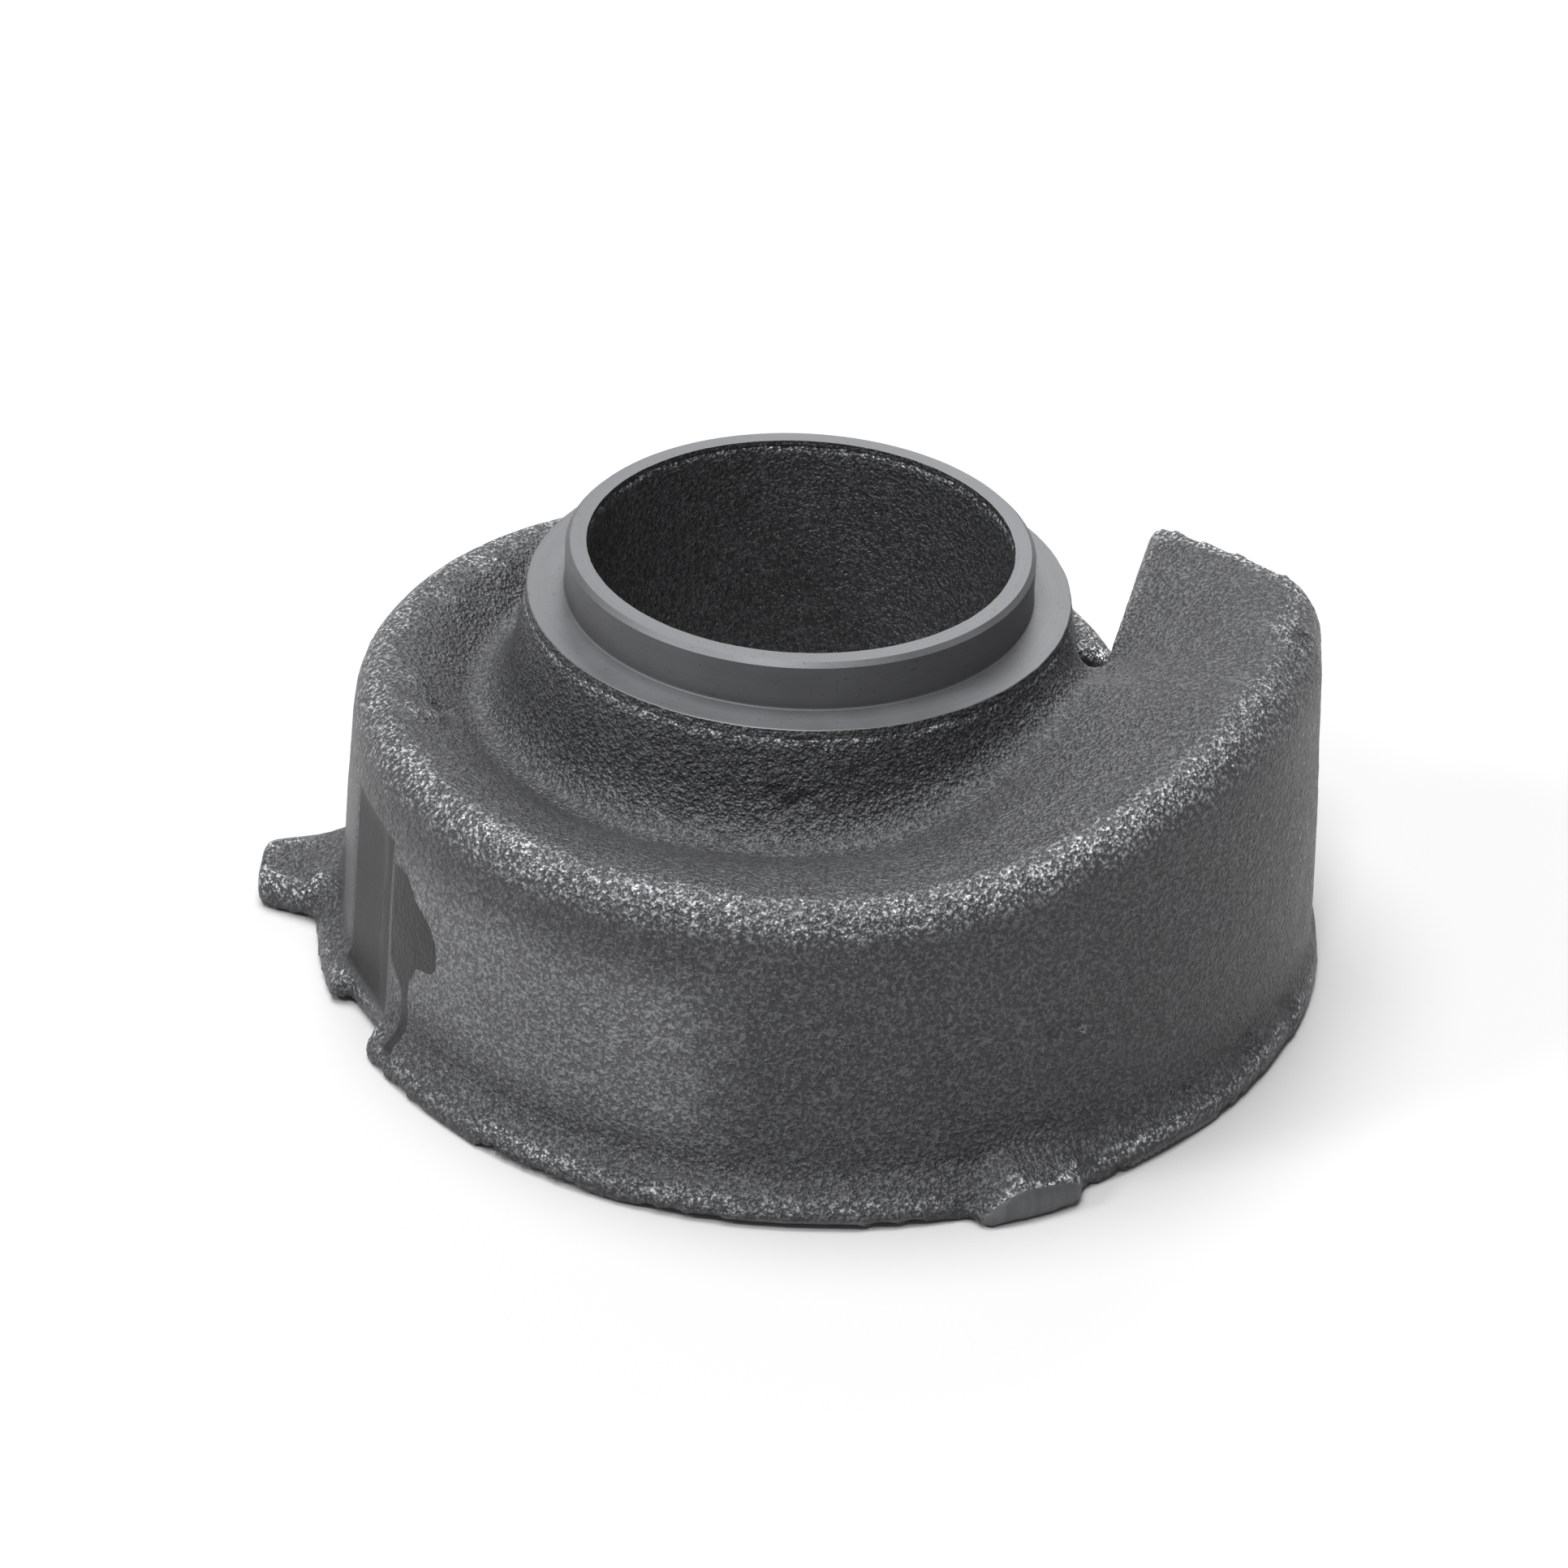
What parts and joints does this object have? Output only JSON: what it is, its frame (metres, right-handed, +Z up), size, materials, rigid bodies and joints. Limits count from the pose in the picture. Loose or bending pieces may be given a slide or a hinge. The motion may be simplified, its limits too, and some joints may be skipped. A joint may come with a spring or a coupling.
{
  "type": "volute pump casing",
  "caption": "One-piece cast volute casing: spiral shell with a climbing roof, machined suction spigot and shoulder, lugged base plate and open tangential discharge.",
  "frame": {"origin": "centre of the base register, in the plane of the base face", "axes": "+Z up along the suction axis, from the base face to the spigot's rim; +Y is away from the viewer, towards the discharge side; +X is to the viewer's right"},
  "size_m": [0.2354, 0.2227, 0.0933],
  "materials": {
    "cast_iron": "shot-blasted grey iron, machined at the spigot, shoulder, base face and part of the rim"
  },
  "bodies": {
    "root": {"volute_casing": "cast_iron"}
  },
  "joints": []
}
